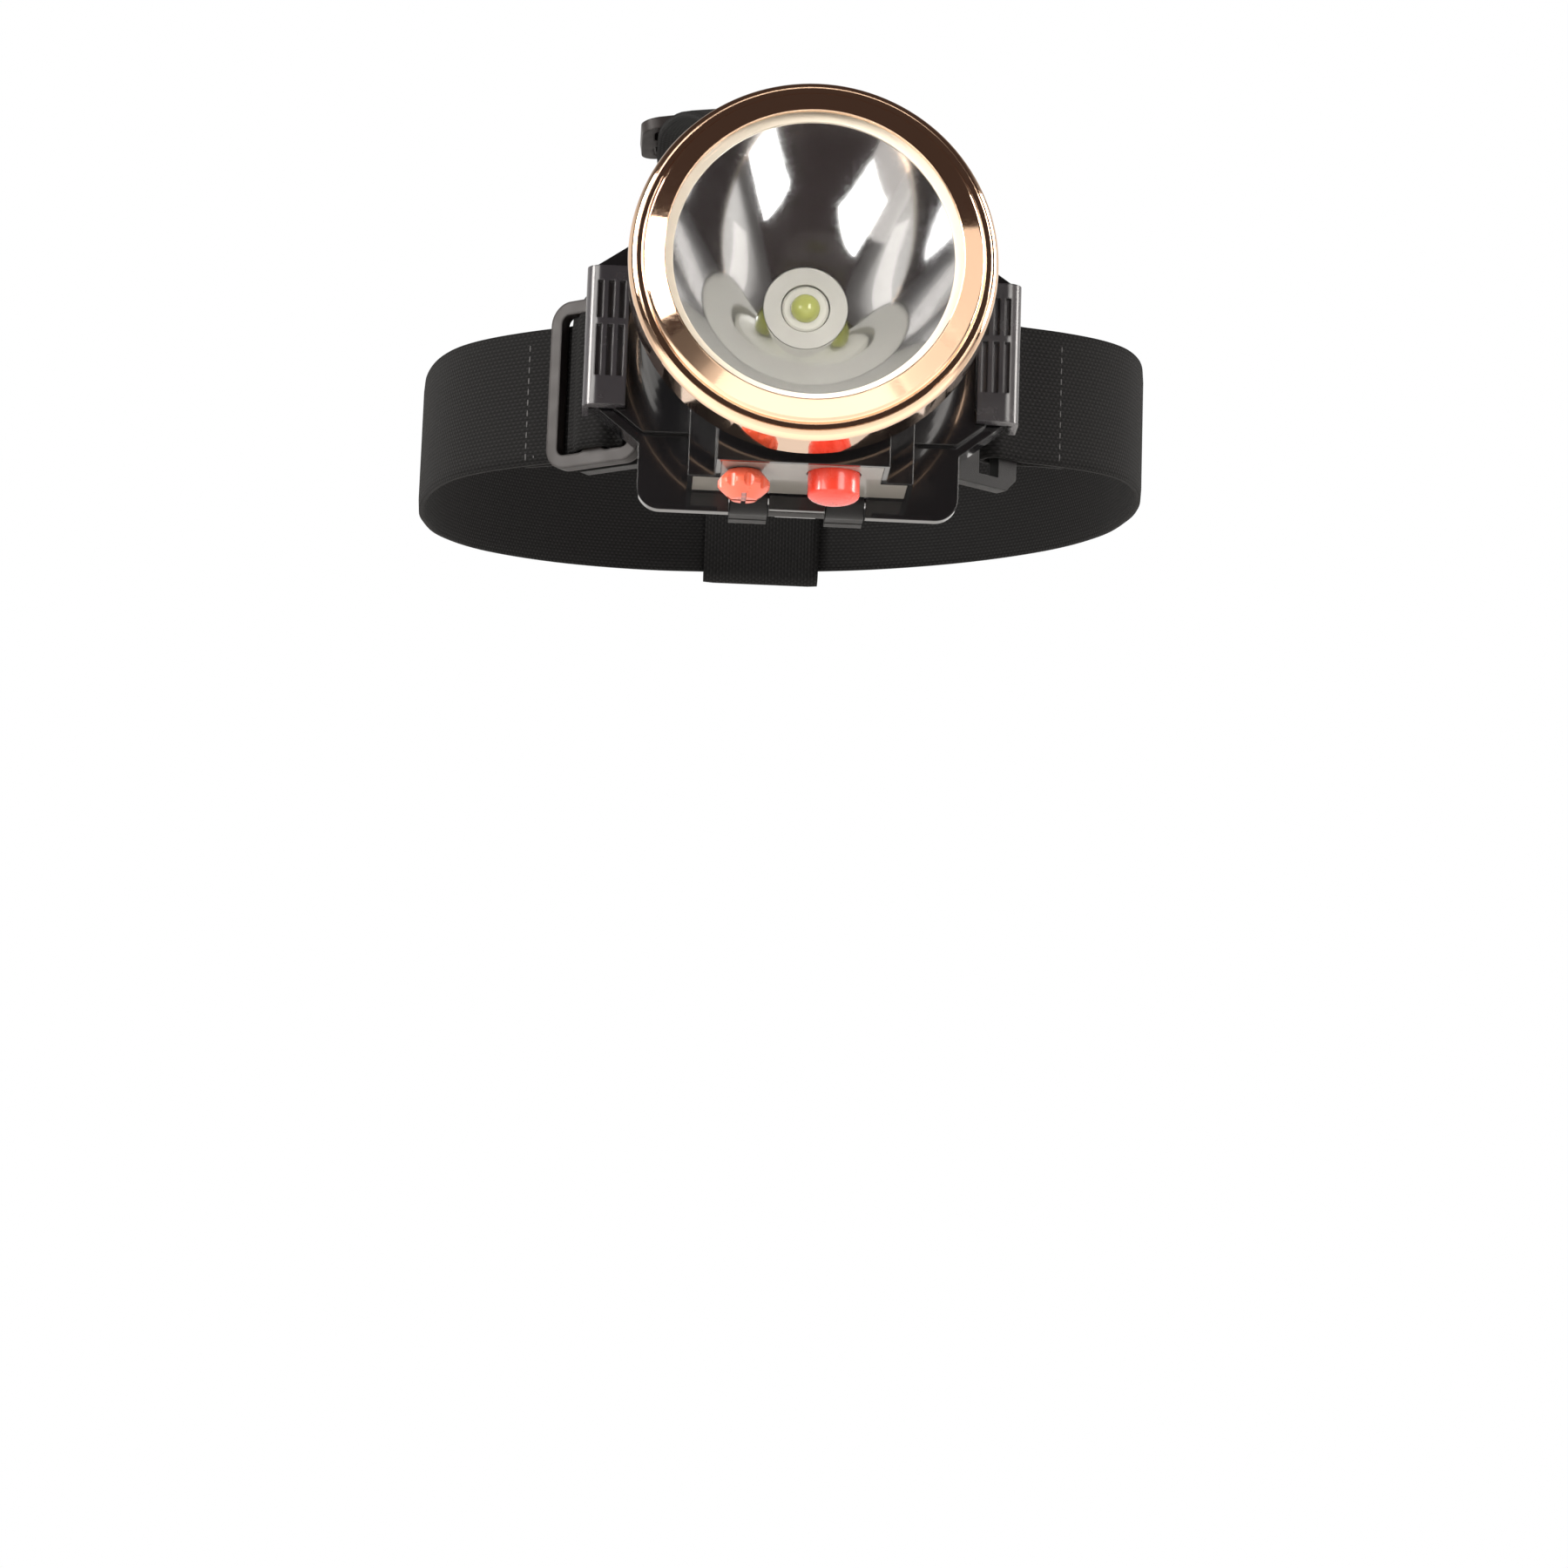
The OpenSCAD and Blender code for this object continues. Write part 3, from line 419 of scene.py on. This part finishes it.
def ribbon(name, path, across, width, thick, profile_steps=12, ease=0.22):
    """Sweep a soft-edged strip of webbing along a path in millimetres, with UVs in metres."""
    mesh = bmesh.new()
    uv = mesh.loops.layers.uv.new("UVMap")
    profile = []
    for k in range(profile_steps + 1):
        x = -0.5 + k / profile_steps
        drop = ease * max(0.0, (abs(x) - FLAT_SHARE) / (0.5 - FLAT_SHARE)) ** 2
        profile.append((x * width, thick / 2 * (1 - drop)))
    outline = profile + [(x, -h) for x, h in reversed(profile)]
    rings = []
    travelled = [0.0]
    last = len(path) - 1
    for i, point in enumerate(path):
        ahead = path[min(last, i + 1)]
        behind = path[max(0, i - 1)]
        forward = (ahead - behind).normalized()
        side = across[i] - forward * across[i].dot(forward)
        side.normalize()
        normal = forward.cross(side)
        rings.append([mesh.verts.new((point + side * x + normal * h) * MM) for x, h in outline])
        if i:
            travelled.append(travelled[-1] + (point - path[i - 1]).length * MM)
    count = len(outline)
    girth = [0.0]
    for k in range(count):
        a = outline[k]
        b = outline[(k + 1) % count]
        girth.append(girth[-1] + math.hypot(b[0] - a[0], b[1] - a[1]) * MM)
    for i in range(last):
        for k in range(count):
            n = (k + 1) % count
            face = mesh.faces.new((rings[i][k], rings[i][n], rings[i + 1][n], rings[i + 1][k]))
            face.smooth = True
            spots = ((girth[k], i), (girth[k + 1], i), (girth[k + 1], i + 1), (girth[k], i + 1))
            for loop, (u, at) in zip(face.loops, spots):
                loop[uv].uv = (u, travelled[at])
    mesh.faces.new(list(reversed(rings[0])))
    mesh.faces.new(rings[-1])
    bmesh.ops.recalc_face_normals(mesh, faces=mesh.faces)
    made = add_mesh(name, mesh, "webbing")
    made["strap_length"] = travelled[-1]
    return made


def add_mesh(name, mesh, look):
    data = bpy.data.meshes.new(name)
    mesh.to_mesh(data)
    mesh.free()
    data.materials.append(LOOKS[look])
    made = bpy.data.objects.new(name, data)
    scene.collection.objects.link(made)
    return made


# one raised thread: (share of its length, radius in millimetres)
THREAD_RINGS = ((0.0, 0.05), (0.15, 0.19), (0.5, 0.22), (0.85, 0.19), (1.0, 0.05))
THREAD_SHARE = 0.72
THREAD_SINK = 0.08
STITCH_PITCH = 1.98
STITCH_COUNT = 11
ROW_HALF = 10.9


def stitches(name, starts, direction, normal):
    """Rows of short raised threads that ride on the base. starts are the rows' first points, in mm."""
    step = direction * STITCH_PITCH
    mesh = bmesh.new()
    for start in starts:
        for k in range(STITCH_COUNT):
            a = start + step * k
            b = a + step * THREAD_SHARE
            forward = (b - a).normalized()
            side = forward.cross(normal).normalized()
            rings = []
            for t, r in THREAD_RINGS:
                middle = a.lerp(b, t)
                ring = []
                for q in range(6):
                    turn = 2 * math.pi * q / 6
                    spot = middle + side * math.cos(turn) * r + normal * math.sin(turn) * r * 0.8
                    ring.append(mesh.verts.new(spot * MM))
                rings.append(ring)
            for i in range(len(THREAD_RINGS) - 1):
                for q in range(6):
                    n = (q + 1) % 6
                    face = mesh.faces.new((rings[i][q], rings[i][n], rings[i + 1][n], rings[i + 1][q]))
                    face.smooth = True
            mesh.faces.new(list(reversed(rings[0])))
            mesh.faces.new(rings[-1])
    bmesh.ops.recalc_face_normals(mesh, faces=mesh.faces)
    made = add_mesh(name, mesh, "thread")
    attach(made, "base")


UPRIGHT = Vector((0, 0, 1))

band_points = headband_path()
headband = ribbon("headband_webbing", band_points, [UPRIGHT] * len(band_points), BAND_W, BAND_T)
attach(headband, "base")
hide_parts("headband")

crown_points = smooth([Vector(p) for p in CROWN_ROUTE], 5)
crown_across = []
for p in crown_points:
    roll = math.radians(-CROWN_ROLL * p.x)
    crown_across.append(Vector((math.cos(roll), 0, math.sin(roll))))
crown = ribbon("crown_webbing", crown_points, crown_across, BAND_W, BAND_T)
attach(crown, "base")
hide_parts("crown_strap")

# webbing over the middle bar of each adjuster: (along the strap, height)
WEAVE = [(5.8, -0.3), (4.2, 0.2), (2.4, 1.75), (0, 1.95), (-2.4, 1.75), (-4.2, 0.2), (-5.8, -0.3)]
SLIDER_LIFT = 2.05
SIDE_SLIDER_BACK = 8
SIDE_SLIDER_Z = -3.4
CROWN_SLIDER_AT = (-14, 72, 66.6)


def slider_loop(name, place, body, old):
    """The short length of webbing that rises over an adjuster's bar."""
    local = smooth([Vector((0, along, height)) for along, height in WEAVE], 5)
    side = place.to_3x3() @ Vector((1, 0, 0))
    made = ribbon(name, [place @ p for p in local], [side] * len(local), BAND_W, BAND_T)
    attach(made, body)
    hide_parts(old)


side_at = FOLD_END - EAR_DIR * SIDE_SLIDER_BACK + EAR_OUT * SLIDER_LIFT
side_place = (Matrix.Translation((-side_at.x, side_at.y, SIDE_SLIDER_Z))
              @ Matrix.Rotation(math.pi / 2 - EAR_ANGLE, 4, "Z") @ Matrix.Rotation(-math.pi / 2, 4, "Y"))
crown_place = (Matrix.Translation(CROWN_SLIDER_AT) @ Matrix.Rotation(math.radians(-9), 4, "Y")
               @ Matrix.Rotation(math.radians(1.6), 4, "X") @ Matrix.Translation((0, 0, SLIDER_LIFT)))
slider_loop("side_slider_loop", side_place, "side_adjuster", "side_slider_webbing")
slider_loop("crown_slider_loop", crown_place, "crown_adjuster", "crown_slider_webbing")

# sewn ends: rows of thread on the band outside each ear, and on the crown strap's front and rear loops
EAR_ROWS = (6.6, 8.4)
FRONT_ROWS = (33.4, 35.4)
REAR_ROWS = (8.6, 10.4, 20.4, 22.2)
CROWN_REAR_Y = 174.4
CROWN_FRONT_Y = -3.5
PROUD = BAND_T / 2 - THREAD_SINK
SIDEWAYS = Vector((1, 0, 0))

for mark, sign in (("left", -1), ("right", 1)):
    rows = []
    for d in EAR_ROWS:
        spot = FOLD_END + EAR_DIR * d + EAR_OUT * PROUD
        x = sign * spot.x
        rows.append(Vector((x, spot.y, BAND_Z + BAND_LEAN * x - ROW_HALF)))
    stitches(mark + "_ear_stitches", rows, UPRIGHT, Vector((sign * EAR_OUT.x, EAR_OUT.y, 0)))


def nearest_crown_point(height):
    """Index of the crown strap's point on its front run, nearest to a height."""
    def miss(i):
        return abs(crown_points[i].z - height) + abs(crown_points[i].y - CROWN_FRONT_Y)
    return min(range(len(crown_points)), key=miss)


rows = []
for height in FRONT_ROWS:
    k = nearest_crown_point(height)
    lie = (crown_points[k + 1] - crown_points[k - 1]).normalized()
    outward = SIDEWAYS.cross(lie)
    outward *= math.copysign(1, -outward.y)
    middle = crown_points[k] + lie * ((height - crown_points[k].z) / lie.z)
    rows.append(middle + outward * PROUD - SIDEWAYS * ROW_HALF)
stitches("crown_front_stitches", rows, SIDEWAYS, outward)

rows = [Vector((-ROW_HALF, CROWN_REAR_Y + PROUD, z)) for z in REAR_ROWS]
stitches("crown_rear_stitches", rows, SIDEWAYS, Vector((0, 1, 0)))

# ---------------------------------------------------------------- forehead pad

PAD_HALF_X = 18.3
PAD_HALF_Z = 19.0
PAD_CORNER = 6.0
PAD_PULL = 0.32
CORNER_STEPS = 12
SIDE_STEPS = 14
# (inset from the outline, y) from the middle of the face on the forehead to the middle of the front,
# with a sewn channel round the face and a raised seam round the edge
PAD_RINGS = [
    (14, 0), (9, 0), (6.4, -0.04), (5.6, -0.2), (5.15, -0.62), (4.95, -0.68), (4.75, -0.62), (4.3, -0.2),
    (3.6, -0.02), (2.6, -0.02), (1.6, -0.16), (0.9, -0.55), (0.45, -1.2), (0.35, -1.75), (0.62, -2.05),
    (0.16, -2.2), (0.02, -2.5), (0.16, -2.8), (0.62, -2.95), (0.35, -3.3), (0.5, -4.0), (0.95, -4.55),
    (1.7, -4.88), (2.6, -4.95), (9, -4.95)]


def pad_outline(inset):
    """Rounded rectangle in x and z whose sides pull in a little between the corners."""
    half_x = PAD_HALF_X - inset
    half_z = PAD_HALF_Z - inset
    r = max(PAD_CORNER - 0.5 * inset, 1.2)
    spots = []
    corners = ((1, 1, 0), (-1, 1, 90), (-1, -1, 180), (1, -1, 270))
    for sx, sz, start in corners:
        for k in range(CORNER_STEPS + 1):
            a = math.radians(start + 90 / CORNER_STEPS * k)
            spots.append((sx * (half_x - r) + r * math.cos(a), sz * (half_z - r) + r * math.sin(a)))
        nsx, nsz, nstart = corners[(start // 90 + 1) % 4]
        a = math.radians(nstart)
        x1 = nsx * (half_x - r) + r * math.cos(a)
        z1 = nsz * (half_z - r) + r * math.sin(a)
        x0, z0 = spots[-1]
        for k in range(1, SIDE_STEPS):
            t = k / SIDE_STEPS
            pull = PAD_PULL * math.sin(math.pi * t)
            x = x0 + (x1 - x0) * t
            z = z0 + (z1 - z0) * t
            if abs(x1 - x0) > abs(z1 - z0):
                z -= pull * math.copysign(1, z)
            else:
                x -= pull * math.copysign(1, x)
            spots.append((x, z))
    return spots


def forehead_pad():
    """A crowned foam pad in its sewn cover, lofted through its rings and closed at both ends."""
    mesh = bmesh.new()
    rings = []
    for inset, y in PAD_RINGS:
        rings.append([mesh.verts.new((x * MM, y * MM, z * MM)) for x, z in pad_outline(inset)])
    count = len(rings[0])
    for i in range(len(rings) - 1):
        for k in range(count):
            n = (k + 1) % count
            face = mesh.faces.new((rings[i][k], rings[i + 1][k], rings[i + 1][n], rings[i][n]))
            face.smooth = True
    mesh.faces.new(rings[0])
    mesh.faces.new(list(reversed(rings[-1])))
    bmesh.ops.recalc_face_normals(mesh, faces=mesh.faces)
    made = add_mesh("forehead_cushion", mesh, "pad_foam")
    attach(made, "base")
    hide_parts("forehead_pad")


forehead_pad()

# ---------------------------------------------------------------- floor, lights and world

def studio_world():
    """Pale low behind the lamp, dark in front of it and overhead. The camera sees plain white."""
    world = bpy.data.worlds.new("studio")
    world.use_nodes = True
    scene.world = world
    tree = world.node_tree
    sky = tree.nodes["Background"]
    place = tree.nodes.new("ShaderNodeTexCoord")
    split = tree.nodes.new("ShaderNodeSeparateXYZ")
    tree.links.new(place.outputs["Generated"], split.inputs[0])

    def ramp(value, start, end):
        made = tree.nodes.new("ShaderNodeMapRange")
        made.interpolation_type = "SMOOTHSTEP"
        made.inputs["From Min"].default_value = start
        made.inputs["From Max"].default_value = end
        tree.links.new(value, made.inputs["Value"])
        return made.outputs["Result"]

    behind = ramp(split.outputs[1], -0.05, 0.3)
    low = ramp(split.outputs[2], 0.75, 0.3)
    both = tree.nodes.new("ShaderNodeMath")
    both.operation = "MULTIPLY"
    tree.links.new(behind, both.inputs[0])
    tree.links.new(low, both.inputs[1])
    blend = tree.nodes.new("ShaderNodeMix")
    blend.data_type = "RGBA"
    blend.inputs[MIX_A].default_value = (0.055, 0.04, 0.036, 1)
    blend.inputs[MIX_B].default_value = (0.9, 0.88, 0.85, 1)
    tree.links.new(both.outputs[0], blend.inputs[MIX_FACTOR])
    tree.links.new(blend.outputs[MIX_RESULT], sky.inputs["Color"])
    seen = tree.nodes.new("ShaderNodeBackground")
    seen.inputs["Color"].default_value = (1, 1, 1, 1)
    rays = tree.nodes.new("ShaderNodeLightPath")
    mix = tree.nodes.new("ShaderNodeMixShader")
    tree.links.new(rays.outputs["Is Camera Ray"], mix.inputs[0])
    tree.links.new(sky.outputs[0], mix.inputs[1])
    tree.links.new(seen.outputs[0], mix.inputs[2])
    tree.links.new(mix.outputs[0], tree.nodes["World Output"].inputs["Surface"])


def softbox(name, place, size, power, color):
    """A rectangular light that faces the middle of the headlamp, with its power in watts."""
    data = bpy.data.lights.new(name, "AREA")
    data.shape = "RECTANGLE"
    data.size = size[0]
    data.size_y = size[1]
    data.energy = power
    data.color = color
    made = bpy.data.objects.new(name, data)
    made.location = place
    aim = -Vector(place)
    made.rotation_euler = aim.to_track_quat("-Z", "Y").to_euler()
    scene.collection.objects.link(made)


FLOOR_Z = -0.42
FLOOR_HALF = 3.0
FLOOR_GLOW = 0.55
FLOOR_DIM = 0.02
FLOOR_SEEN = 0.62


def floor():
    """A pale table that glows under and behind the lamp, and is left dim in front of it."""
    mesh = bmesh.new()
    half = FLOOR_HALF
    spots = [(-half, -half), (half, -half), (half, half), (-half, half)]
    mesh.faces.new([mesh.verts.new((x, y, FLOOR_Z)) for x, y in spots])
    s = Shader("floor", (0.72, 0.71, 0.69), 0.7)
    s.tint(s.noise(3, 4), (0.7, 0.69, 0.67), (0.75, 0.74, 0.72))
    place = s.add("ShaderNodeTexCoord")
    split = s.add("ShaderNodeSeparateXYZ")
    s.join(place.outputs["Object"], split.inputs[0])
    glow = s.add("ShaderNodeMapRange", interpolation_type="SMOOTHSTEP")
    glow.inputs["From Min"].default_value = -0.28
    glow.inputs["From Max"].default_value = 0.02
    glow.inputs["To Min"].default_value = FLOOR_DIM
    glow.inputs["To Max"].default_value = FLOOR_GLOW
    s.join(split.outputs[1], glow.inputs["Value"])
    rays = s.add("ShaderNodeLightPath")
    camera_glow = s.mixed("MULTIPLY", rays.outputs["Is Camera Ray"], FLOOR_SEEN)
    seen = s.mixed("MAXIMUM", glow.outputs["Result"], camera_glow)
    s.set("Emission Color", (1.0, 0.97, 0.93, 1))
    s.join(seen, s.bsdf.inputs["Emission Strength"])
    LOOKS["floor"] = s.material
    add_mesh("floor", mesh, "floor")


studio_world()
floor()
softbox("box_left", (-1.0, -0.3, 0.42), (0.3, 0.8), 19, (1.0, 0.96, 0.92))
softbox("box_right", (0.95, 0.05, 0.3), (0.25, 0.8), 9, (1.0, 0.96, 0.92))
softbox("fill_right", (0.85, -0.75, 0.05), (0.9, 1.0), 2.9, (1.0, 0.93, 0.86))
softbox("fill_low", (0.05, -0.6, -0.41), (0.8, 0.3), 0.55, (1.0, 0.93, 0.86))
softbox("key_left", (-0.85, -0.95, 0.27), (0.62, 0.62), 9, (1.0, 0.97, 0.93))
softbox("key_right", (0.6, -1.05, 0.24), (0.55, 0.6), 7, (1.0, 0.97, 0.93))
scene.view_settings.view_transform = "Standard"
